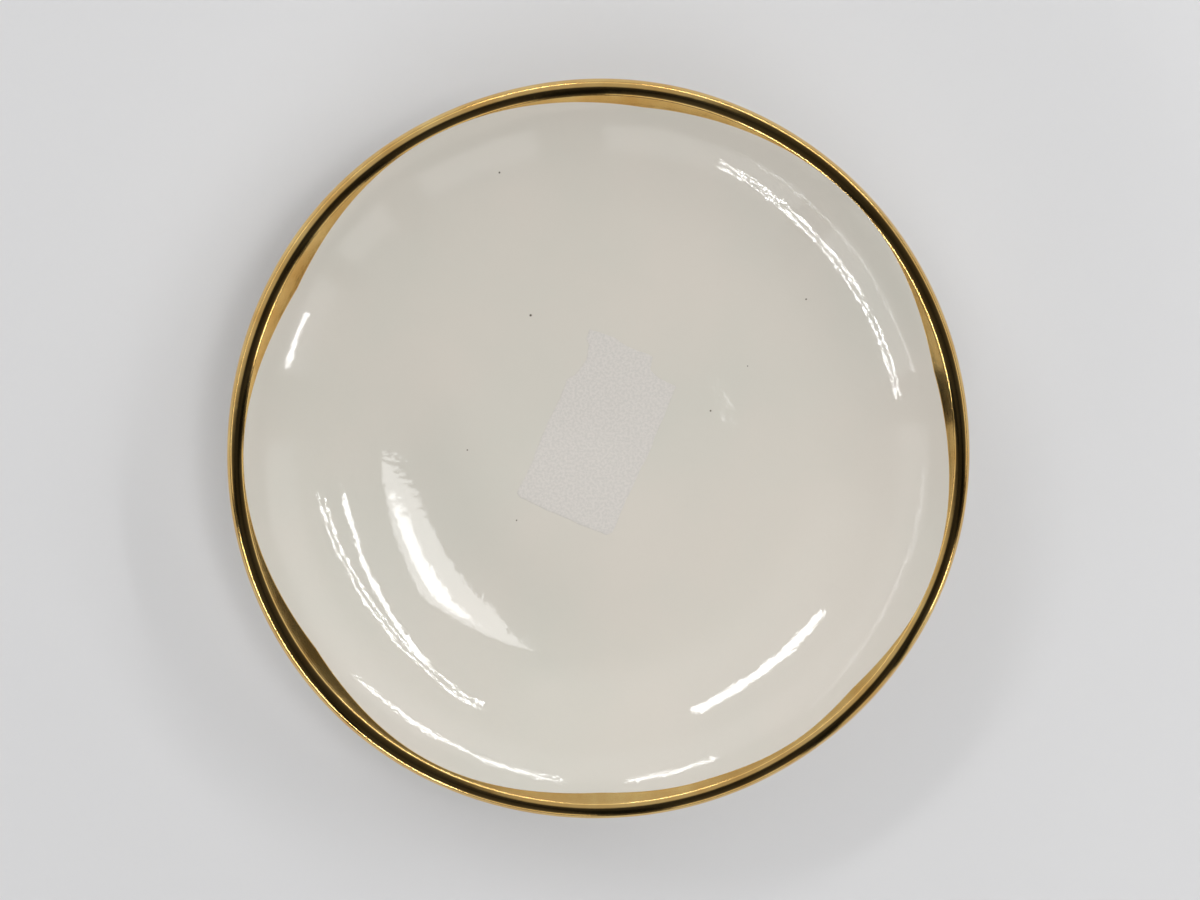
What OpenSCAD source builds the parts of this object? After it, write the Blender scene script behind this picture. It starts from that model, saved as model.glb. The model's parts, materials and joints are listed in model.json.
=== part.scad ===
// Shallow round ring dish: a fired clay body under an off-white glaze, with a scalloped gold lip.
// The dish stands on its foot ring. The origin is the middle of that footing, and +Z is up.

/* [Dish] */
// Overall diameter, over the gold on the lip
dish_d = 100; // [84:1:140]
// Overall height, from the tread of the foot to the top of the lip
dish_h = 18.5; // [16:0.5:24]
// Angle of the bowl's face at the lip, measured from level
rim_slope = 49; // [44:1:58]
// Thickness of the wall where it meets the lip, glaze included
rim_wall = 2.6; // [2:0.1:3.4]
// Thickness of the flat floor, glaze included
floor_t = 3.2; // [2.4:0.1:4]

/* [Foot ring] */
// Outer diameter of the foot ring
foot_d = 36; // [30:1:44]
// Height of the hollow inside the foot ring
foot_h = 2; // [1.8:0.1:3]
// Width of the foot ring, glaze included
foot_w = 2.6; // [2.2:0.1:4]
// Radius of the fillets between the foot ring and the underside
foot_fillet = 1; // [0.4:0.1:1.1]
// Radius of the rounded edges of the bare tread
tread_edge_r = 0.4; // [0.1:0.05:0.5]

/* [Glaze and gold] */
// Thickness of the glaze
glaze_t = 0.3; // [0.2:0.05:0.4]
// Height above the table at which the glaze stops on the foot ring
glaze_stop_h = 0.6; // [0.5:0.05:0.7]
// Thickness of the gold on the glaze
gold_t = 0.12; // [0.1:0.01:0.2]
// How far the gold reaches in from the dish's edge at its deepest scallop
gold_deep = 3.9; // [3:0.1:5]
// How far the gold reaches in from the dish's edge where it is narrowest
gold_shallow = 2.2; // [1.8:0.1:2.9]
// How far the gold reaches past its deepest scallop, inside and outside
gold_margin = 0.2; // [0.1:0.05:0.6]

/* [Label adhesive] */
// Length of the adhesive film
film_l = 25.6; // [18:0.1:27]
// Width of the adhesive film
film_w = 14.5; // [10:0.1:18]
// Thickness of the adhesive film
film_t = 0.1; // [0.08:0.01:0.2]
// Turn of the film's length from +X
film_turn = 66; // [0:0.5:180]
// Middle of the film from the dish's axis, along X
film_x = 0.9; // [-3:0.1:3]
// Middle of the film from the dish's axis, along Y
film_y = 2; // [-3:0.1:3]
// Size of the corner missing from the film, along its length
notch_l = 2.4; // [0.5:0.1:5]
// Size of the missing corner across the film's width
notch_w = 4.4; // [0.5:0.1:6]
// Length of the bite torn out of the film's other long side
bite_l = 5; // [2:0.1:8]
// Depth of the bite
bite_w = 1.1; // [0.4:0.1:3]
// Distance from the film's end to the bite
bite_from_end = 2; // [0.5:0.1:8]

/* [Hidden] */
// Scallops of the gold: each pair is an angle from +X and how deep the gold is there, from 0 to 1
GOLD_SCALLOPS = [
    [14, 0.8], [44, 0], [83, 0.75], [117, 0.05], [151, 1], [180, 0.1], [214, 0.9],
    [242, 0.25], [270, 0.8], [288, 0.55], [304, 0.3], [317, 0.5], [338, 0.05]
];
// Steps along the bowl's curved face, and round each quarter of a fillet or of the lip
FACE_STEPS = 22;
ARC_STEPS = 6;
// Angle between the points of the scalloped outline
SCALLOP_STEP = 3;
$fn = 120;

CLAY = "#e9e2d4";
GLAZE = "#f0ece2";
GOLD = "#c9973f";
FILM = "#cfcacc";

// The lip is half round, and its outer edge and its top set the dish's diameter and height
lip_r = rim_wall / 2;
mouth_r = dish_d / 2 - gold_t - lip_r * (1 + sin(rim_slope));
mouth_z = dish_h - gold_t - lip_r * (1 - cos(rim_slope));
floor_z = foot_h + floor_t;
bowl_depth = mouth_z - floor_z;

// The floor is flat to just outside the foot ring, and from there the face climbs as a power of the radius
foot_r = foot_d / 2;
well_r = foot_r - foot_w;
flat_r = foot_r + foot_fillet;
run = mouth_r - flat_r;
curve_n = tan(rim_slope) * run / bowl_depth;

// The station on the bowl's face where both faces of the gold stop
gold_stop_r = dish_d / 2 - gold_deep - gold_margin;

function climb(r) = max(0, r - flat_r) / run;
function face_z(r) = floor_z + bowl_depth * pow(climb(r), curve_n);
function slope(r) = atan(tan(rim_slope) * pow(climb(r), curve_n - 1));
function wall_at(r) = floor_t + (rim_wall - floor_t) * climb(r);

// The point at depth d under the bowl's face, square to it
function below(r, d) = [r + d * sin(slope(r)), face_z(r) - d * cos(slope(r))];

// Radii of the points along the face, with one of them exactly where the gold stops
stations = concat(
    [for (i = [0:FACE_STEPS - 1]) flat_r + (gold_stop_r - flat_r) * i / FACE_STEPS],
    [for (i = [0:2]) gold_stop_r + (mouth_r - gold_stop_r) * i / 2]
);
lip_centre = below(mouth_r, lip_r);

function arc(centre, r, from, to, steps) = [
    for (i = [0:steps]) centre + r * [
        cos(from + (to - from) * i / steps),
        sin(from + (to - from) * i / steps)
    ]
];
function backwards(list) = [for (i = [len(list) - 1:-1:0]) list[i]];
function without_first(list) = [for (i = [1:len(list) - 1]) list[i]];
function without_last(list) = [for (i = [0:len(list) - 2]) list[i]];

// The bowl's face at depth d, outwards from radius start up to the lip's half round
function bowl_face(d, start) = [for (r = stations) if (r >= start) below(r, d)];
// The dish's outer face at depth d inside the glaze, from the lip down to radius stop
function under_face(d, stop) = [
    for (i = [len(stations) - 1:-1:0])
        if (stations[i] >= stop) below(stations[i], wall_at(stations[i]) - d)
];
// The lip's half round at depth d, in its inner part up to the crest and its outer part from the crest
function lip_in(d) = without_first(arc(lip_centre, lip_r - d, 90 + rim_slope, 90, ARC_STEPS));
function lip_out(d) = concat(
    without_first(arc(lip_centre, lip_r - d, 90, 0, ARC_STEPS)),
    without_last(without_first(arc(lip_centre, lip_r - d, 0, rim_slope - 90, ARC_STEPS)))
);
// The foot ring's outer side at depth d, from its fillet down to height stop
function foot_side(d, stop) = concat(
    without_first(arc([flat_r, foot_h - foot_fillet], foot_fillet + d, 90, 180, ARC_STEPS)),
    [[foot_r - d, stop]]
);
// The side and roof of the hollow inside the foot ring at depth d, from height start to the axis
function well_side(d, start) = concat(
    [[well_r + d, start]],
    arc([well_r - foot_fillet, foot_h - foot_fillet], foot_fillet + d, 0, 90, ARC_STEPS),
    [[0, foot_h + d]]
);

// The whole outside at depth d, from the middle of the bowl to where the foot ring's outer side stops
function outside(d, stop) = concat(
    [[0, floor_z - d]],
    bowl_face(d, 0),
    lip_in(d),
    lip_out(d),
    under_face(d, 0),
    foot_side(d, stop)
);

// How deep the gold is at angle a: it dips in narrow points and swells in wide lobes
function dip(t) = (sin(90 * t) + (1 - cos(180 * t)) / 2) / 2;
function between(here, next, t) = here > next
    ? here + (next - here) * dip(t)
    : next + (here - next) * dip(1 - t);
function scallop_at(a, i = 0) = let (
    here = GOLD_SCALLOPS[i],
    wraps = i == len(GOLD_SCALLOPS) - 1,
    next = wraps ? GOLD_SCALLOPS[0] + [360, 0] : GOLD_SCALLOPS[i + 1]
) a < next[0] || wraps
    ? between(here[1], next[1], (a - here[0]) / (next[0] - here[0]))
    : scallop_at(a, i + 1);
first_angle = GOLD_SCALLOPS[0][0];
scallop_outline = [
    for (a = [first_angle:SCALLOP_STEP:first_angle + 360 - SCALLOP_STEP])
        (dish_d / 2 - gold_shallow - (gold_deep - gold_shallow) * scallop_at(a)) * [cos(a), sin(a)]
];

// The film's outline about its own middle, with a missing corner and a bite out of one long side
half_l = film_l / 2;
half_w = film_w / 2;
bite_end = half_l - bite_from_end;
film_outline = [
    [-half_l, -half_w],
    [half_l - notch_l, -half_w],
    [half_l - notch_l, notch_w - half_w],
    [half_l, notch_w - half_w],
    [half_l, half_w],
    [bite_end, half_w],
    [bite_end, half_w - bite_w],
    [bite_end - bite_l, half_w - bite_w],
    [bite_end - bite_l, half_w],
    [-half_l, half_w]
];

// The fired clay: floor, wall, lip and foot ring in one piece
module clay_body() {
    tread_out = foot_r - glaze_t - tread_edge_r;
    tread_in = well_r + glaze_t + tread_edge_r;
    color(CLAY)
        rotate_extrude()
            polygon(concat(
                outside(glaze_t, tread_edge_r),
                without_first(arc([tread_out, tread_edge_r], tread_edge_r, 0, -90, ARC_STEPS)),
                without_last(arc([tread_in, tread_edge_r], tread_edge_r, -90, -180, ARC_STEPS)),
                well_side(glaze_t, tread_edge_r)
            ));
}

// The glaze, from the middle of the bowl over the lip and down to the foot ring
module glaze_coat() {
    color(GLAZE)
        rotate_extrude()
            polygon(concat(
                outside(0, glaze_stop_h),
                backwards(outside(glaze_t, glaze_stop_h))
            ));
}

// The patch of glaze in the hollow of the foot ring
module foot_well_glaze() {
    color(GLAZE)
        rotate_extrude()
            polygon(concat(
                well_side(0, glaze_stop_h),
                backwards(well_side(glaze_t, glaze_stop_h))
            ));
}

// The gold over the lip: plain outside the crest, and cut back to its scallops inside it
module gold_band() {
    color(GOLD)
        union() {
            rotate_extrude()
                polygon(concat(
                    [lip_centre + [0, lip_r]],
                    lip_out(0),
                    under_face(0, gold_stop_r),
                    backwards(under_face(-gold_t, gold_stop_r)),
                    backwards(lip_out(-gold_t)),
                    [lip_centre + [0, lip_r + gold_t]]
                ));
            difference() {
                rotate_extrude()
                    polygon(concat(
                        bowl_face(0, gold_stop_r),
                        lip_in(0),
                        backwards(lip_in(-gold_t)),
                        backwards(bowl_face(-gold_t, gold_stop_r))
                    ));
                linear_extrude(height = dish_h + floor_z)
                    polygon(scallop_outline);
            }
        }
}

// The adhesive film on the flat of the bowl
module label_adhesive() {
    color(FILM)
        translate([film_x, film_y, floor_z])
            rotate([0, 0, film_turn])
                linear_extrude(height = film_t)
                    polygon(film_outline);
}

clay_body();
glaze_coat();
foot_well_glaze();
gold_band();
label_adhesive();
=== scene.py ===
"""A small ring dish seen from above.

Off-white glaze over clay, a gold lip, and the film that a label left in the bowl. Each piece is
a surface worked out from the profile that the CAD nodes share, and replaces its node.
"""
import json
import math

import bpy
import numpy as np
from mathutils import Matrix, Vector

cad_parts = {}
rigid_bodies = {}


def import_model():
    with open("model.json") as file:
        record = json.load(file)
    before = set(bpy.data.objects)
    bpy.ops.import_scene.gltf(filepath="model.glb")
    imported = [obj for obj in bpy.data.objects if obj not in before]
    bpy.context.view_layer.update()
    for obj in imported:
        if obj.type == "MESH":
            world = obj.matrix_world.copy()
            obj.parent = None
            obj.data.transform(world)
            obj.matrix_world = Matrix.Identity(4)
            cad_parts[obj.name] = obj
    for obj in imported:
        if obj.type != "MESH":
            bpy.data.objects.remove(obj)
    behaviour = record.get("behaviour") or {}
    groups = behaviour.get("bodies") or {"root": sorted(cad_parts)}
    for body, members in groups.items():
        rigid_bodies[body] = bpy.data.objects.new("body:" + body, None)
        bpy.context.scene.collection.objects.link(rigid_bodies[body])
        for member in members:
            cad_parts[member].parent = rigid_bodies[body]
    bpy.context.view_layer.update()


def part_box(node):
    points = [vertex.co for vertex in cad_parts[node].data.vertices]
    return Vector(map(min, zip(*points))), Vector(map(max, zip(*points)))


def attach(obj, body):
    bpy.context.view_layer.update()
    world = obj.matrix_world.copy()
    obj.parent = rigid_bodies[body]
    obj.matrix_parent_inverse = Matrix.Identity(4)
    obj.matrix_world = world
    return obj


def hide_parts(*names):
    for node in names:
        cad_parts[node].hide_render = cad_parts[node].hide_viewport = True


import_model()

MM = 0.001

# Sizes that the boxes of the CAD pieces give
GOLD_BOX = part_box("gold_band")
GLAZE_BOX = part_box("glaze_coat")
CLAY_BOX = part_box("clay_body")
WELL_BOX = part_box("foot_well_glaze")
FILM_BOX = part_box("label_adhesive")
DISH_R = GOLD_BOX[1][0]
DISH_H = GOLD_BOX[1][2]
GOLD_T = DISH_H - GLAZE_BOX[1][2]
GLAZE_T = GLAZE_BOX[1][2] - CLAY_BOX[1][2]
FLOOR_Z = FILM_BOX[0][2]
FOOT_H = WELL_BOX[1][2] - GLAZE_T
WELL_R = WELL_BOX[1][0] - GLAZE_T
GLAZE_STOP = WELL_BOX[0][2]

# Sizes that the boxes don't show
RIM_SLOPE = math.radians(49)
RIM_WALL = 2.6 * MM
FOOT_R = 18 * MM
FOOT_FILLET = 1.0 * MM
TREAD_EDGE = 0.4 * MM

# The curves of the CAD body: a flat floor, a face that climbs as a power, and a half-round lip
FLOOR_T = FLOOR_Z - FOOT_H
LIP_R = RIM_WALL / 2
MOUTH_R = DISH_R - GOLD_T - LIP_R * (1 + math.sin(RIM_SLOPE))
MOUTH_Z = DISH_H - GOLD_T - LIP_R * (1 - math.cos(RIM_SLOPE))
FLAT_R = FOOT_R + FOOT_FILLET
RUN = MOUTH_R - FLAT_R
DEPTH = MOUTH_Z - FLOOR_Z
POWER = math.tan(RIM_SLOPE) * RUN / DEPTH

# How finely the dish is divided around its axis and along its profile
AROUND = 360
AROUND_GOLD = 720
FLAT_POINTS = 24
FACE_STEPS = 90
LIP_STEPS = 40
FILLET_STEPS = 10
TREAD_STEPS = 8
BEAD_STEPS = 6
ROOF_POINTS = 12
# Radius of the ring of points nearest the axis, which is closed with triangles
POLE_R = 0.4 * MM


def climb(r):
    """Share of the way out from the flat floor to the mouth: 0 on the flat, 1 at the mouth."""
    return np.clip(r - FLAT_R, 0, None) / RUN


def slope(r):
    """Angle of the bowl's face from level: its tangent is the derivative of the power curve."""
    return np.arctan(math.tan(RIM_SLOPE) * climb(r) ** (POWER - 1))


def below(r, d):
    """Radius and height of the point at depth d under the bowl's face at radius r.

    The face's height is the floor's plus the bowl's depth times a power of the climb, and the
    depth is measured square to the face."""
    z = FLOOR_Z + DEPTH * climb(r) ** POWER
    s = slope(r)
    return np.stack([r + d * np.sin(s), z - d * np.cos(s)], axis=-1)


def arc(centre, r, start, stop, steps):
    """Points on a circle in the plane of radius and height, between two angles in degrees."""
    a = np.radians(np.linspace(start, stop, steps + 1))
    return np.asarray(centre) + r * np.stack([np.cos(a), np.sin(a)], axis=-1)


def bowl_face(d):
    """The bowl's face at depth d, in equal steps from near the axis out to the mouth."""
    flat = np.linspace(POLE_R, FLAT_R, FLAT_POINTS)[:-1]
    curved = FLAT_R + RUN * np.linspace(0, 1, FACE_STEPS + 1)
    return below(np.concatenate([flat, curved]), d)


def under_face(d):
    """The outer face at depth d inside the glaze, from the lip in to the foot ring's fillet.

    It lies under the bowl's face by the wall's thickness, which changes evenly with the climb."""
    r = FLAT_R + RUN * np.linspace(1, 0, FACE_STEPS + 1)
    wall = FLOOR_T + (RIM_WALL - FLOOR_T) * climb(r)
    return below(r, wall - d)


LIP_CENTRE = below(np.array(MOUTH_R), LIP_R)
SLOPE_DEG = math.degrees(RIM_SLOPE)


def lip(d):
    """The lip's half circle at depth d, from the bowl's face over the crest to the outer face."""
    return arc(LIP_CENTRE, LIP_R - d, 90 + SLOPE_DEG, SLOPE_DEG - 90, LIP_STEPS)[1:-1]


def foot_side(d):
    """The foot ring's outer side at depth d: a quarter circle, and straight down to the stop."""
    centre = [FLAT_R, FOOT_H - FOOT_FILLET]
    fillet = arc(centre, FOOT_FILLET + d, 90, 180, FILLET_STEPS)[1:]
    return np.vstack([fillet, [[FOOT_R - d, GLAZE_STOP]]])


def well_side(d):
    """The foot ring's inner side at depth d, up from the stop: straight, a quarter circle, and
    the level roof of the hollow in to the axis."""
    centre = [WELL_R - FOOT_FILLET, FOOT_H - FOOT_FILLET]
    fillet = arc(centre, FOOT_FILLET + d, 0, 90, FILLET_STEPS)
    roof = np.linspace(WELL_R - FOOT_FILLET, POLE_R, ROOF_POINTS)[1:]
    level = np.stack([roof, roof * 0 + FOOT_H + d], axis=-1)
    return np.vstack([[[WELL_R + d, GLAZE_STOP]], fillet, level])


def outside(d):
    """The whole outside at depth d, from the bowl's middle to the glaze's stop at the foot."""
    return np.vstack([bowl_face(d), lip(d), under_face(d), foot_side(d)])


# Slow waves of the rim, as a fired clay dish has: how many go round, their height, and the
# angle of a crest. The first change the outline, and the second raise and lower the lip.
RIM_WAVES = [(3, 0.12 * MM, -22), (4, 0.07 * MM, -39), (5, 0.04 * MM, -7), (7, 0.03 * MM, -19)]
LIP_WAVES = [(2, 0.05 * MM, 40), (3, 0.04 * MM, 100), (5, 0.03 * MM, 15)]


def hand_made(p):
    """Bends points of the perfect dish as firing does.

    Radius and height change by sums of cosine waves of the angle, times the cube of the radius
    over the dish's. The waves only take away, so the dish stays inside its box. The change of
    height also grows with the height, so the foot stays on the table."""
    r = np.hypot(p[..., 0], p[..., 1])
    a = np.arctan2(p[..., 1], p[..., 0])
    grow = (r / DISH_R) ** 3
    out = sum(height * (np.cos(k * (a - math.radians(at))) - 1) for k, height, at in RIM_WAVES)
    up = sum(height * (np.cos(k * (a - math.radians(at))) - 1) for k, height, at in LIP_WAVES)
    scale = 1 + grow * out / DISH_R
    raised = np.clip(p[..., 2] / DISH_H, 0, 1)
    z = p[..., 2] + grow * raised * up
    return np.stack([p[..., 0] * scale, p[..., 1] * scale, z], axis=-1)


def ring_faces(rows, around, loop=False):
    """Quads of a grid of rows that each close around the axis, facing left of the way along."""
    i = np.arange(rows if loop else rows - 1)[:, None]
    j = np.arange(around)[None, :]
    here, there = i * around, ((i + 1) % rows) * around
    after = (j + 1) % around
    return np.stack([here + j, there + j, there + after, here + after], axis=-1).reshape(-1, 4)


def end_caps(rows, around):
    """Triangles that close a grid's first and last rows on the two points that follow it."""
    j = np.arange(around)
    after = (j + 1) % around
    first_pole = rows * around
    last = first_pole - around
    return np.vstack([
        np.stack([j * 0 + first_pole, j, after], axis=-1),
        np.stack([j * 0 + first_pole + 1, last + after, last + j], axis=-1),
    ])


def make_piece(name, verts, faces, material, sharp=40):
    """A mesh object at the origin, smooth but for edges sharper than an angle in degrees."""
    mesh = bpy.data.meshes.new(name)
    mesh.from_pydata(verts.tolist(), [], faces)
    mesh.polygons.foreach_set("use_smooth", np.ones(len(faces), dtype=bool))
    mesh.set_sharp_from_angle(angle=math.radians(sharp))
    mesh.validate()
    mesh.materials.append(material)
    piece = bpy.data.objects.new(name, mesh)
    bpy.context.scene.collection.objects.link(piece)
    return piece


def revolve(name, profile, first_pole, last_pole, material):
    """Turns a profile of (radius, height) points about the axis and closes both of its ends.

    Each point goes round as radius times (cos, sin). The profile runs from near the axis, over
    the outside, and back, so its faces point outwards. The poles are heights on the axis."""
    a = np.arange(AROUND) * 2 * math.pi / AROUND
    r, z = profile[:, :1], profile[:, 1:]
    grid = np.stack([r * np.cos(a), r * np.sin(a), z + 0 * a], axis=-1)
    poles = [[0, 0, first_pole], [0, 0, last_pole]]
    verts = np.vstack([hand_made(grid).reshape(-1, 3), poles])
    rows = len(profile)
    faces = ring_faces(rows, AROUND).tolist() + end_caps(rows, AROUND).tolist()
    return make_piece(name, verts, faces, material)


def bead(outer_end, inner_start):
    """A half circle, bulging down, that joins the glaze's two faces where it stops."""
    outer_end, inner_start = np.asarray(outer_end), np.asarray(inner_start)
    middle = (outer_end + inner_start) / 2
    reach = (outer_end - inner_start) / 2
    a = np.radians(np.linspace(0, 180, BEAD_STEPS + 1))[1:-1, None]
    return middle + reach * np.cos(a) + np.array([0, -abs(reach[0])]) * np.sin(a)


# Materials


def linear(hex_colour):
    """An sRGB hex colour as linear red, green, blue and alpha."""
    s = np.array([int(hex_colour[i:i + 2], 16) for i in (1, 3, 5)]) / 255
    flat = np.where(s <= 0.04045, s / 12.92, ((s + 0.055) / 1.055) ** 2.4)
    return (*flat.tolist(), 1.0)


def add(tree, kind, links=(), values=(), stops=(), **settings):
    """Adds a node with its settings, the values of its inputs, its ramp's stops and its links."""
    node = tree.nodes.new(kind)
    for key, setting in settings.items():
        setattr(node, key, setting)
    for key, value in dict(values).items():
        node.inputs[key].default_value = value
    for key, output in dict(links).items():
        tree.links.new(output, node.inputs[key])
    if stops:
        elements = node.color_ramp.elements
        while len(elements) < len(stops):
            elements.new(0.5)
        for element, (place, colour) in zip(elements, stops):
            element.position = place
            element.color = colour
    return node


def new_material(name, **values):
    """A material with one Principled BSDF, its node tree and that shader."""
    material = bpy.data.materials.new(name)
    material.use_nodes = True
    tree = material.node_tree
    shader = tree.nodes["Principled BSDF"]
    for key, value in values.items():
        shader.inputs[key.replace("_", " ")].default_value = value
    return material, tree, shader


def per_metre(size):
    """Scale of a noise whose features are the given size across."""
    return 1 / size


# The glaze: size of its clouds, of its slow waves and of its orange peel, and how high the
# waves and the peel stand
GLAZE_CLOUDS = 26 * MM
GLAZE_WAVES, GLAZE_WAVE_HEIGHT = 9 * MM, 0.06 * MM
GLAZE_PEEL, GLAZE_PEEL_HEIGHT = 1.3 * MM, 0.014 * MM
# Iron specks in the glaze: place in the bowl and radius, in millimetres
SPECKS = [
    (-9.19, 18.39, 0.16), (-13.37, 37.74, 0.12), (-18.06, -0.31, 0.10), (28.69, 20.64, 0.11),
    (15.87, 5.05, 0.12), (-8.15, -5.99, 0.13), (-11.25, -10.21, 0.10), (21.0, 11.3, 0.08),
]
# A speck is full up to the first of these times its radius, and gone at the second
SPECK_FULL, SPECK_GONE = 0.5, 1.5


def glaze():
    """Tin-white gloss glaze, dipped and fired: a warm white with faint clouds, pinpoint iron
    specks and a wavy skin that bends what it mirrors."""
    material, tree, shader = new_material("off_white_gloss_glaze", Roughness=0.03, IOR=1.52)
    place = add(tree, "ShaderNodeTexCoord").outputs["Object"]
    clouds = add(
        tree, "ShaderNodeTexNoise", {"Vector": place},
        {"Scale": per_metre(GLAZE_CLOUDS), "Detail": 3.0},
    )
    colour = add(
        tree, "ShaderNodeValToRGB", {"Fac": clouds.outputs["Fac"]},
        stops=[(0.35, linear("#d4d1c7")), (0.65, linear("#d9d3c9"))],
    )
    from_above = add(
        tree, "ShaderNodeVectorMath", {0: place}, {1: (1, 1, 0)}, operation="MULTIPLY",
    )
    specks = None
    for x, y, r in SPECKS:
        away = add(
            tree, "ShaderNodeVectorMath", {0: from_above.outputs[0]},
            {1: (x * MM, y * MM, 0)}, operation="DISTANCE",
        )
        speck = add(
            tree, "ShaderNodeMapRange", {"Value": away.outputs["Value"]},
            {
                "From Min": SPECK_FULL * r * MM, "From Max": SPECK_GONE * r * MM,
                "To Min": 1.0, "To Max": 0.0,
            },
            interpolation_type="SMOOTHSTEP",
        ).outputs[0]
        if specks is None:
            specks = speck
        else:
            specks = add(
                tree, "ShaderNodeMath", {0: specks, 1: speck}, operation="MAXIMUM",
            ).outputs[0]
    # The mix node's colour sockets are numbers 6 and 7, and its colour comes out of number 2
    spotted = add(
        tree, "ShaderNodeMix", {0: specks, 6: colour.outputs["Color"]},
        {7: linear("#5d5448")}, data_type="RGBA",
    )
    tree.links.new(spotted.outputs[2], shader.inputs["Base Color"])
    slow = add(
        tree, "ShaderNodeTexNoise", {"Vector": place},
        {"Scale": per_metre(GLAZE_WAVES), "Detail": 1.0},
    )
    peel = add(
        tree, "ShaderNodeTexNoise", {"Vector": place},
        {"Scale": per_metre(GLAZE_PEEL), "Detail": 3.0},
    )
    wave = add(
        tree, "ShaderNodeBump", {"Height": slow.outputs["Fac"]},
        {"Strength": 1.0, "Distance": GLAZE_WAVE_HEIGHT},
    )
    skin = add(
        tree, "ShaderNodeBump", {"Height": peel.outputs["Fac"], "Normal": wave.outputs[0]},
        {"Strength": 1.0, "Distance": GLAZE_PEEL_HEIGHT},
    )
    tree.links.new(skin.outputs[0], shader.inputs["Normal"])
    return material


# The gold: size of its paler clouds and of its brush strokes, and how high the strokes stand
GOLD_CLOUDS = 5 * MM
GOLD_STROKES, GOLD_STROKE_HEIGHT = 2.5 * MM, 0.015 * MM


def gold_lustre():
    """Gold lustre brushed on and fired: a thin metal film, nearly a mirror, whose faint strokes
    break up the lines that it mirrors."""
    material, tree, shader = new_material("fired_gold_lustre", Metallic=1.0, Roughness=0.12)
    place = add(tree, "ShaderNodeTexCoord").outputs["Object"]
    clouds = add(
        tree, "ShaderNodeTexNoise", {"Vector": place},
        {"Scale": per_metre(GOLD_CLOUDS), "Detail": 4.0},
    )
    colour = add(
        tree, "ShaderNodeValToRGB", {"Fac": clouds.outputs["Fac"]},
        stops=[(0.3, linear("#ddb067")), (0.7, linear("#eecb84"))],
    )
    tree.links.new(colour.outputs["Color"], shader.inputs["Base Color"])
    strokes = add(
        tree, "ShaderNodeTexNoise", {"Vector": place},
        {"Scale": per_metre(GOLD_STROKES), "Detail": 3.0},
    )
    skin = add(
        tree, "ShaderNodeBump", {"Height": strokes.outputs["Fac"]},
        {"Strength": 1.0, "Distance": GOLD_STROKE_HEIGHT},
    )
    tree.links.new(skin.outputs[0], shader.inputs["Normal"])
    return material


# The clay: size and height of its grit. Real grit is finer, and is drawn this coarse to show.
CLAY_GRIT, CLAY_GRIT_HEIGHT = 0.5 * MM, 0.05 * MM


def bare_clay():
    """White clay, fired and ground flat on the tread: matt and slightly gritty."""
    material, tree, shader = new_material("bare_fired_clay", Roughness=0.85, IOR=1.5)
    place = add(tree, "ShaderNodeTexCoord").outputs["Object"]
    grit = add(
        tree, "ShaderNodeTexNoise", {"Vector": place},
        {"Scale": per_metre(CLAY_GRIT), "Detail": 4.0},
    )
    colour = add(
        tree, "ShaderNodeValToRGB", {"Fac": grit.outputs["Fac"]},
        stops=[(0.3, linear("#cfc4b1")), (0.7, linear("#ddd4c4"))],
    )
    tree.links.new(colour.outputs["Color"], shader.inputs["Base Color"])
    rough = add(
        tree, "ShaderNodeBump", {"Height": grit.outputs["Fac"]},
        {"Strength": 1.0, "Distance": CLAY_GRIT_HEIGHT},
    )
    tree.links.new(rough.outputs[0], shader.inputs["Normal"])
    return material


# The adhesive: size and height of its speckle
ADHESIVE_SPECKLE, ADHESIVE_SPECKLE_HEIGHT = 0.35 * MM, 0.03 * MM


def dry_adhesive():
    """Acrylic label adhesive left as a dry film: dull, a little greyer and cooler than the
    glaze under it, and speckled where the label pulled away."""
    material, tree, shader = new_material("dry_label_adhesive", Roughness=0.55, IOR=1.47)
    place = add(tree, "ShaderNodeTexCoord").outputs["Object"]
    speckle = add(
        tree, "ShaderNodeTexNoise", {"Vector": place},
        {"Scale": per_metre(ADHESIVE_SPECKLE), "Detail": 3.0},
    )
    colour = add(
        tree, "ShaderNodeValToRGB", {"Fac": speckle.outputs["Fac"]},
        stops=[(0.4, linear("#cdc9c3")), (0.6, linear("#d6d1cb"))],
    )
    tree.links.new(colour.outputs["Color"], shader.inputs["Base Color"])
    rough = add(
        tree, "ShaderNodeBump", {"Height": speckle.outputs["Fac"]},
        {"Strength": 1.0, "Distance": ADHESIVE_SPECKLE_HEIGHT},
    )
    tree.links.new(rough.outputs[0], shader.inputs["Normal"])
    return material


GLAZE = glaze()
GOLD = gold_lustre()
CLAY = bare_clay()
ADHESIVE = dry_adhesive()


# Pieces


def make_clay_body():
    """The clay inside the glaze. Two quarter circles round the edges of the bare tread."""
    tread_out = FOOT_R - GLAZE_T - TREAD_EDGE
    tread_in = WELL_R + GLAZE_T + TREAD_EDGE
    profile = np.vstack([
        outside(GLAZE_T),
        arc([tread_out, TREAD_EDGE], TREAD_EDGE, 0, -90, TREAD_STEPS),
        arc([tread_in, TREAD_EDGE], TREAD_EDGE, -90, -180, TREAD_STEPS),
        well_side(GLAZE_T),
    ])
    return revolve("clay_dish", profile, FLOOR_Z - GLAZE_T, FOOT_H + GLAZE_T, CLAY)


def make_glaze_coat():
    """The glaze over the bowl, the lip and the outside, ending in a bead on the foot ring."""
    outer, inner = outside(0), outside(GLAZE_T)[::-1]
    profile = np.vstack([outer, bead(outer[-1], inner[0]), inner])
    return revolve("glaze_skin", profile, FLOOR_Z, FLOOR_Z - GLAZE_T, GLAZE)


def make_well_glaze():
    """The glaze in the hollow of the foot ring, ending in a bead on the ring's inner side."""
    inner, outer = well_side(GLAZE_T)[::-1], well_side(0)
    profile = np.vstack([inner, bead(inner[-1], outer[0]), outer])
    return revolve("well_glaze_skin", profile, FOOT_H + GLAZE_T, FOOT_H, GLAZE)


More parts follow.
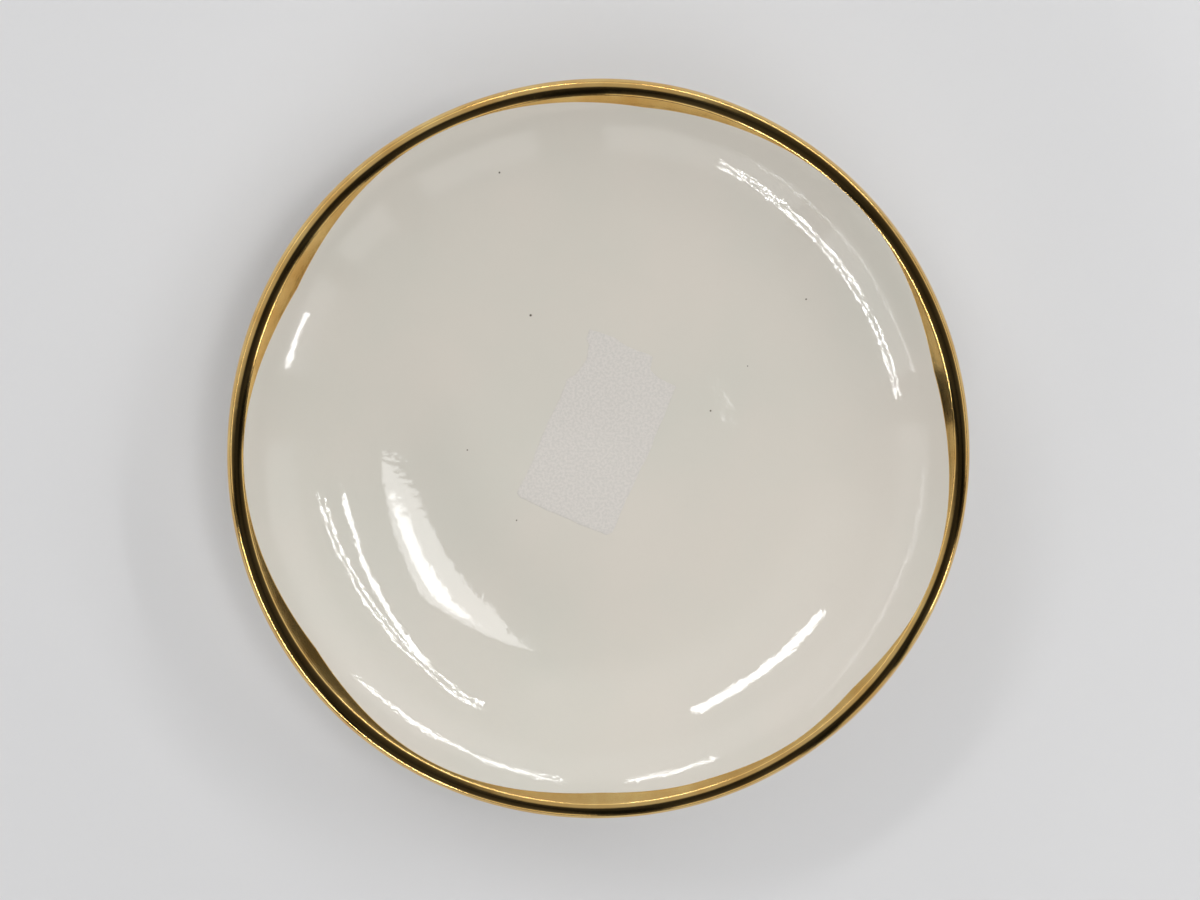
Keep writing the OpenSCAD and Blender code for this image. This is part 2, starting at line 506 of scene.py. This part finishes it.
# Scallops of the gold's inner edge, as on the CAD band: angle from +X, and depth from 0 to 1
GOLD_DEEP = 3.9 * MM
GOLD_SHALLOW = 2.2 * MM
SCALLOPS = np.array([
    (14, 0.8), (44, 0), (83, 0.75), (117, 0.05), (151, 1), (180, 0.1), (214, 0.9),
    (242, 0.25), (270, 0.8), (288, 0.55), (304, 0.3), (317, 0.5), (338, 0.05),
])
# How far down the outside the gold reaches, along the face from the lip's outermost point, and
# how that edge wavers: how many waves go round, their height, and their phase in degrees
GOLD_OUTSIDE = 3.2 * MM
GOLD_WAVERS = [(5, 0.12 * MM, 40), (11, 0.08 * MM, 0)]
# Inside the mouth the film is as thin as it can be drawn
GOLD_THIN = 0.025 * MM
# How far each edge takes to thin out, and the power that rounds it
GOLD_INNER_TAPER, GOLD_INNER_ROUND = 0.06 * MM, 0.5
GOLD_OUTER_TAPER, GOLD_OUTER_ROUND = 0.45 * MM, 0.6
# How far the film's edges and its back are sunk in the glaze, so that no gap shows
GOLD_EDGE_SUNK = 0.005 * MM
GOLD_BACK_SUNK = 0.03 * MM
GOLD_ROWS = 90


def dip(t):
    """Rises from a narrow point at 0 to a wide lobe at 1: the mean of a sine and a cosine step."""
    return (np.sin(t * math.pi / 2) + (1 - np.cos(t * math.pi)) / 2) / 2


def scallop_reach(a):
    """How far the gold reaches in from the dish's edge at angles a, in degrees.

    Between two scallops the depth follows the dip, which starts at the shallower of the two."""
    at = np.append(SCALLOPS[:, 0], SCALLOPS[0, 0] + 360)
    depth = np.append(SCALLOPS[:, 1], SCALLOPS[0, 1])
    a = (a - at[0]) % 360 + at[0]
    i = np.clip(np.searchsorted(at, a, side="right") - 1, 0, len(at) - 2)
    t = (a - at[i]) / (at[i + 1] - at[i])
    here, there = depth[i], depth[i + 1]
    falling, rising = here + (there - here) * dip(t), there + (here - there) * dip(1 - t)
    share = np.where(here > there, falling, rising)
    return GOLD_SHALLOW + (GOLD_DEEP - GOLD_SHALLOW) * share


def make_gold_band():
    """A film over the lip, from the scalloped edge inside to a plainer edge outside.

    Each row lies at a share of the way along the glaze's face between the two edges, and is
    lifted off the glaze by the film's thickness: thin inside the mouth, growing evenly to the
    crest, full from there on, and falling to nothing at the edges as a power of the distance."""
    path = np.vstack([bowl_face(0), lip(0), under_face(0)])
    step = np.hypot(*np.diff(path, axis=0).T)
    along = np.concatenate([[0], np.cumsum(step)])
    tangent = np.gradient(path, along, axis=0)
    tangent /= np.hypot(tangent[:, :1], tangent[:, 1:])
    normal = np.stack([-tangent[:, 1], tangent[:, 0]], axis=-1)
    # The inner edge is looked for only as far as the radius surely grows, a third over the lip
    growing = along <= along[len(bowl_face(0)) + LIP_STEPS // 3]
    deg = np.arange(AROUND_GOLD) * 360 / AROUND_GOLD
    edge_in = np.interp(DISH_R - scallop_reach(deg), path[growing, 0], along[growing])
    outermost = along[np.argmax(path[:, 0])]
    waver = sum(height * np.sin(np.radians(k * deg + at)) for k, height, at in GOLD_WAVERS)
    edge_out = outermost + GOLD_OUTSIDE + waver
    s = edge_in + (edge_out - edge_in) * np.linspace(0, 1, GOLD_ROWS)[:, None]
    mouth, crest = along[len(bowl_face(0)) - 1], along[np.argmax(path[:, 1])]
    full = np.clip((s - mouth) / (crest - mouth), 0, 1)
    inner_edge = np.clip((s - edge_in) / GOLD_INNER_TAPER, 0, 1) ** GOLD_INNER_ROUND
    outer_edge = np.clip((edge_out - s) / GOLD_OUTER_TAPER, 0, 1) ** GOLD_OUTER_ROUND
    thickness = (GOLD_THIN + (GOLD_T - GOLD_THIN) * full) * inner_edge * outer_edge

    def sheet(height):
        """The rows at a height off the glaze, along its normal, turned about the axis."""
        r = np.interp(s, along, path[:, 0]) + height * np.interp(s, along, normal[:, 0])
        z = np.interp(s, along, path[:, 1]) + height * np.interp(s, along, normal[:, 1])
        a = np.radians(deg)
        return hand_made(np.stack([r * np.cos(a), r * np.sin(a), z], axis=-1))

    front, back = sheet(thickness - GOLD_EDGE_SUNK), sheet(s * 0 - GOLD_BACK_SUNK)
    # The back's rows run the other way, so that one loop of rows goes round the film
    verts = np.concatenate([front, back[::-1]]).reshape(-1, 3)
    faces = ring_faces(2 * GOLD_ROWS, AROUND_GOLD, loop=True).tolist()
    return make_piece("gold_lip", verts, faces, GOLD)


# The film's outline in its own frame, in millimetres: a missing corner and a bitten side
FILM_OUTLINE = np.array([
    (-12.8, 6.4), (-12.3, 7.2), (-7.4, 7.0), (-3.0, 7.3), (1.0, 7.1), (5.0, 7.2), (5.9, 6.5),
    (8.6, 5.9), (10.6, 6.4), (11.3, 7.1), (12.7, 7.2), (12.9, 4.0), (12.6, 1.0), (12.7, -2.4),
    (11.0, -2.8), (10.3, -4.4), (10.2, -7.1), (6.0, -7.2), (0, -7.4), (-6.0, -7.2),
    (-12.0, -7.3), (-12.8, -6.6), (-12.9, 0),
])
FILM_TURN = math.radians(66)
FILM_MIDDLE = [(low + high) / 2 for low, high in zip(FILM_BOX[0][:2], FILM_BOX[1][:2])]
# The outline shrinks towards a line along the film's length, this far each way from its middle
FILM_SPINE = 5.5 * MM
# Points around the outline, and the shares of the way out from the line where its rings lie
FILM_AROUND = 480
FILM_RINGS = np.concatenate([np.linspace(0.02, 0.95, 24), [0.985, 0.997, 1.0]])
# The edge is ragged by two sines: height, length of one radian, and phase in radians
FILM_RAGS = [(0.05 * MM, 0.9 * MM, 0), (0.03 * MM, 0.37 * MM, 1)]
# Thickness, the power that keeps the film flat until near its edge, and how far it is sunk
FILM_T = 0.05 * MM
FILM_FLATNESS = 40
FILM_SUNK = 0.01 * MM


def make_adhesive():
    """A thin film in rings that shrink from its ragged outline to a line along its middle.

    Its height is its thickness times the root of 1 less a high power of the share of the way
    out, so that it is flat in the middle and rounds off at the edge."""
    outline = np.vstack([FILM_OUTLINE, FILM_OUTLINE[:1]]) * MM
    step = np.hypot(*np.diff(outline, axis=0).T)
    along = np.concatenate([[0], np.cumsum(step)])
    s = np.linspace(0, along[-1], FILM_AROUND, endpoint=False)
    edge = np.stack([np.interp(s, along, outline[:, k]) for k in (0, 1)], axis=-1)
    ragged = sum(height * np.sin(s / length + phase) for height, length, phase in FILM_RAGS)
    edge *= 1 + (ragged / np.hypot(edge[:, 0], edge[:, 1]))[:, None]
    share = FILM_RINGS[:, None, None]
    spine = np.stack([np.clip(edge[:, 0], -FILM_SPINE, FILM_SPINE), 0 * edge[:, 1]], axis=-1)
    flat = spine + (edge - spine) * share
    cos, sin = math.cos(FILM_TURN), math.sin(FILM_TURN)
    x = FILM_MIDDLE[0] + cos * flat[..., 0] - sin * flat[..., 1]
    y = FILM_MIDDLE[1] + sin * flat[..., 0] + cos * flat[..., 1]
    height = FILM_T * np.sqrt(np.clip(1 - share[..., 0] ** FILM_FLATNESS, 0, 1)) + 0 * x
    top = np.stack([x, y, FLOOR_Z + height], axis=-1)
    base = np.stack([x, y, FLOOR_Z - FILM_SUNK + 0 * x], axis=-1)[::-1]
    poles = [[*FILM_MIDDLE, FLOOR_Z + FILM_T], [*FILM_MIDDLE, FLOOR_Z - FILM_SUNK]]
    verts = np.vstack([top.reshape(-1, 3), base.reshape(-1, 3), poles])
    rows = 2 * len(FILM_RINGS)
    faces = ring_faces(rows, FILM_AROUND).tolist() + end_caps(rows, FILM_AROUND).tolist()
    return make_piece("adhesive_film", verts, faces, ADHESIVE, sharp=60)


MADE = [
    (make_clay_body, "clay_body", "clay"),
    (make_glaze_coat, "glaze_coat", "glaze"),
    (make_well_glaze, "foot_well_glaze", "glaze"),
    (make_gold_band, "gold_band", "gold"),
    (make_adhesive, "label_adhesive", "adhesive"),
]
for make, node_name, slot_name in MADE:
    made = make()
    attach(made, "root")
    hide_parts(node_name)


# Stage


# The plain pale surroundings that the camera sees past the tabletop, and the distances from
# the dish between which the tabletop fades into them
PALE = linear("#e2e2e3")
FADE_FROM, FADE_TO = 0.18, 0.5
TOP_HALF = 3.0


def make_floor():
    """A plain pale tabletop, a level square at height 0. Where the camera sees it, it fades
    into the pale surroundings with the distance from the dish."""
    mesh = bpy.data.meshes.new("tabletop")
    corners = [(x * TOP_HALF, y * TOP_HALF, 0) for x, y in ((-1, -1), (1, -1), (1, 1), (-1, 1))]
    mesh.from_pydata(corners, [], [(0, 1, 2, 3)])
    material, tree, shader = new_material(
        "matt_pale_top", Roughness=0.6, Base_Color=linear("#dcdcdd"),
    )
    place = add(tree, "ShaderNodeTexCoord").outputs["Object"]
    away = add(tree, "ShaderNodeVectorMath", {0: place}, operation="LENGTH")
    far = add(
        tree, "ShaderNodeMapRange", {"Value": away.outputs["Value"]},
        {"From Min": FADE_FROM, "From Max": FADE_TO}, interpolation_type="SMOOTHSTEP",
    )
    ray = add(tree, "ShaderNodeLightPath")
    share = add(
        tree, "ShaderNodeMath", {0: far.outputs[0], 1: ray.outputs["Is Camera Ray"]},
        operation="MULTIPLY",
    )
    plain = add(tree, "ShaderNodeEmission", values={"Color": PALE, "Strength": 1.0})
    mix = add(
        tree, "ShaderNodeMixShader",
        {"Fac": share.outputs[0], 1: shader.outputs[0], 2: plain.outputs[0]},
    )
    tree.links.new(mix.outputs[0], tree.nodes["Material Output"].inputs["Surface"])
    mesh.materials.append(material)
    top = bpy.data.objects.new("tabletop", mesh)
    bpy.context.scene.collection.objects.link(top)


make_floor()

# The camera looks almost straight down: its lean from vertical, the azimuth that it leans
# towards, both in degrees, and its distance
CAMERA_LEAN = 6.0
CAMERA_TOWARDS = 114.0
CAMERA_AWAY = 0.27
# Where it looks, and the width of the view there, fitted to the rim's outline
CAMERA_AIM = Vector((-0.093, 0.769, 17.2)) * MM
VIEW_WIDTH = 160.28 * MM
SENSOR_WIDTH = 36


def point(azimuth, elevation, away=1.0):
    """The point at an azimuth from +X and an elevation from level, in degrees, and a distance."""
    a, e = math.radians(azimuth), math.radians(elevation)
    return Vector((math.cos(a) * math.cos(e), math.sin(a) * math.cos(e), math.sin(e))) * away


def turned_to(x, y, z):
    """The rotation that turns an object's own axes to three square directions."""
    return Matrix((x, y, z)).transposed().to_euler()


def make_camera():
    """Looks at the rim from the photograph's angle, with +Y up in the picture."""
    camera = bpy.data.cameras.new("camera")
    camera.sensor_width = SENSOR_WIDTH
    camera.lens = SENSOR_WIDTH * CAMERA_AWAY / VIEW_WIDTH
    camera.clip_start, camera.clip_end = 0.01, 20
    seen = bpy.data.objects.new("camera", camera)
    bpy.context.scene.collection.objects.link(seen)
    back = point(CAMERA_TOWARDS, 90 - CAMERA_LEAN)
    seen.location = CAMERA_AIM + back * CAMERA_AWAY
    right = Vector((0, 1, 0)).cross(back).normalized()
    seen.rotation_euler = turned_to(right, back.cross(right), back)
    bpy.context.scene.camera = seen


make_camera()

# Narrow lamps, all at one distance: name, azimuth and elevation of each end and width, in
# degrees, and radiance
LAMP_AWAY = 0.9
STRIPS = [
    ("tube_pair_a", (252, 15.8), (197, 21.8), 0.35, 36),
    ("tube_pair_b", (252, 18), (197, 24), 0.35, 36),
    ("tube_pair_c", (2, 32.4), (60, 35.4), 0.35, 36),
    ("tube_pair_d", (2, 35.0), (60, 38.0), 0.35, 36),
    ("tube_faint", (248, 9.4), (200, 14.5), 0.3, 7),
    ("tube_faint_right", (184, 16.7), (130, 15.5), 0.3, 5),
    ("tube_e", (1, 46), (44, 41), 2.0, 16),
    ("panel_f", (344, 74.5), (40, 69), 15.0, 4.5),
    ("panel_f_core", (356, 72.5), (34, 69.5), 6.0, 7),
    ("tube_g", (36, 15), (80, 15), 0.8, 16),
    ("panel_h", (110, 40), (148, 40), 4.0, 14),
    ("tube_i", (92, 16), (110, 17), 1.0, 14),
    ("tube_j", (339, 11), (331, 11), 2.0, 16),
]
# These light everything but the gold, which would turn white in them
NOT_ON_GOLD = ("tube_pair_c", "tube_pair_d", "tube_e", "panel_f", "panel_f_core", "panel_h")
# The large soft lamp that lights the colours evenly: size, distance, way to it and radiance
KEY_SIZE = 0.9
KEY_AWAY = 1.1
KEY_WAY = (285, 60)
KEY_RADIANCE = 1.5


def all_but_gold():
    """A collection of every mesh except the gold, as what some lamps light."""
    lit = bpy.data.collections.new("all_but_gold")
    for thing in list(bpy.context.scene.objects):
        if thing.type == "MESH" and thing.name != "gold_lip":
            lit.objects.link(thing)
    return lit


ALL_BUT_GOLD = all_but_gold()


def make_lamp(name, width, height, radiance, place, turn):
    """A rectangular lamp that the camera doesn't see. Its power is radiance times pi and area."""
    light = bpy.data.lights.new(name, "AREA")
    light.shape = "RECTANGLE"
    light.size, light.size_y = width, height
    light.energy = radiance * math.pi * width * height
    lamp = bpy.data.objects.new(name, light)
    bpy.context.scene.collection.objects.link(lamp)
    lamp.location, lamp.rotation_euler = place, turn
    lamp.visible_camera = False
    return lamp


def make_strip(name, start, stop, width, radiance):
    """A narrow lamp between two directions from the bowl, facing it."""
    a, b = point(*start, LAMP_AWAY), point(*stop, LAMP_AWAY)
    middle = (a + b) / 2
    x = (b - a).normalized()
    z = (middle - x * middle.dot(x)).normalized()
    across = 2 * LAMP_AWAY * math.tan(math.radians(width) / 2)
    turn = turned_to(x, z.cross(x), z)
    lamp = make_lamp(name, (b - a).length, across, radiance, middle, turn)
    if name in NOT_ON_GOLD:
        lamp.light_linking.receiver_collection = ALL_BUT_GOLD


for strip in STRIPS:
    make_strip(*strip)


def make_key():
    """The large soft lamp, high towards -Y. The gloss doesn't mirror it."""
    place = point(*KEY_WAY, KEY_AWAY)
    turn = place.to_track_quat("Z", "Y").to_euler()
    lamp = make_lamp("soft_key", KEY_SIZE, KEY_SIZE, KEY_RADIANCE, place, turn)
    lamp.visible_glossy = False


make_key()


# The room that the glaze and the gold mirror: sine of the elevation, and how bright it is there
ROOM = [
    (0.045, 0.60), (0.058, 0.04), (0.16, 0.04), (0.20, 0.95),
    (0.34, 0.95), (0.43, 0.25), (0.62, 0.06), (1.0, 0.03),
]
# The room's lines aren't level as the dish sees them: this is the way up that they are level to
ROOM_UP = (0.05, -0.06, 1)
# One side of the room is pale nearly to the ceiling: the azimuth of its middle, how bright it
# is, the distances from its middle on a circle of radius 1 between which it ends, and the
# heights between which it ends under the ceiling
PALE_SIDE = 122
PALE_LEVEL = 0.5
PALE_REACH = (0.8, 1.1)
PALE_TOP = (0.85, 0.95)
# Dark posts in the room: azimuth and half the width, in degrees, the width of their soft
# edges, and the share of the light that is left in front of them
POSTS = [(306, 3), (277, 5), (346, 5), (322, 2), (233, 3), (196, 4)]
POST_EDGE = 0.8
POST_SHARE = 0.08


def make_world():
    """Bright walls under a dark ceiling, and plain pale where the camera sees past the table."""
    world = bpy.data.worlds.new("room")
    bpy.context.scene.world = world
    world.use_nodes = True
    tree = world.node_tree
    way = add(tree, "ShaderNodeTexCoord").outputs["Generated"]
    height = add(
        tree, "ShaderNodeVectorMath", {0: way}, {1: ROOM_UP}, operation="DOT_PRODUCT",
    ).outputs["Value"]
    walls = add(
        tree, "ShaderNodeValToRGB", {"Fac": height},
        stops=[(place, (level, level, level, 1)) for place, level in ROOM],
    )
    level_way = add(tree, "ShaderNodeVectorMath", {0: way}, {1: (1, 1, 0)}, operation="MULTIPLY")
    compass = add(tree, "ShaderNodeVectorMath", {0: level_way.outputs[0]}, operation="NORMALIZE")

    def aside(azimuth):
        """How far the compass direction is from an azimuth, on a circle of radius 1."""
        a = math.radians(azimuth)
        to = (math.cos(a), math.sin(a), 0)
        return add(
            tree, "ShaderNodeVectorMath", {0: compass.outputs[0]}, {1: to}, operation="DISTANCE",
        ).outputs["Value"]

    near_side = add(
        tree, "ShaderNodeMapRange", {"Value": aside(PALE_SIDE)},
        {
            "From Min": PALE_REACH[0], "From Max": PALE_REACH[1],
            "To Min": PALE_LEVEL, "To Max": 0.0,
        },
        interpolation_type="SMOOTHSTEP",
    )
    under_ceiling = add(
        tree, "ShaderNodeMapRange", {"Value": height},
        {"From Min": PALE_TOP[0], "From Max": PALE_TOP[1], "To Min": 1.0, "To Max": 0.0},
    )
    pale = add(
        tree, "ShaderNodeMath", {0: near_side.outputs[0], 1: under_ceiling.outputs[0]},
        operation="MULTIPLY",
    )
    strength = add(
        tree, "ShaderNodeMath", {0: walls.outputs["Color"], 1: pale.outputs[0]},
        operation="MAXIMUM",
    )
    for azimuth, half in POSTS:
        clear = add(
            tree, "ShaderNodeMapRange", {"Value": aside(azimuth)},
            {
                "From Min": math.radians(half), "From Max": math.radians(half + POST_EDGE),
                "To Min": POST_SHARE,
            },
        )
        strength = add(
            tree, "ShaderNodeMath", {0: strength.outputs[0], 1: clear.outputs[0]},
            operation="MULTIPLY",
        )
    room = tree.nodes["Background"]
    room.inputs["Color"].default_value = (1, 1, 1, 1)
    tree.links.new(strength.outputs[0], room.inputs["Strength"])
    plain = add(tree, "ShaderNodeBackground", values={"Color": PALE, "Strength": 1.0})
    ray = add(tree, "ShaderNodeLightPath")
    mix = add(
        tree, "ShaderNodeMixShader",
        {"Fac": ray.outputs["Is Camera Ray"], 1: room.outputs[0], 2: plain.outputs[0]},
    )
    tree.links.new(mix.outputs[0], tree.nodes["World Output"].inputs["Surface"])


make_world()

bpy.context.scene.view_settings.view_transform = "Standard"
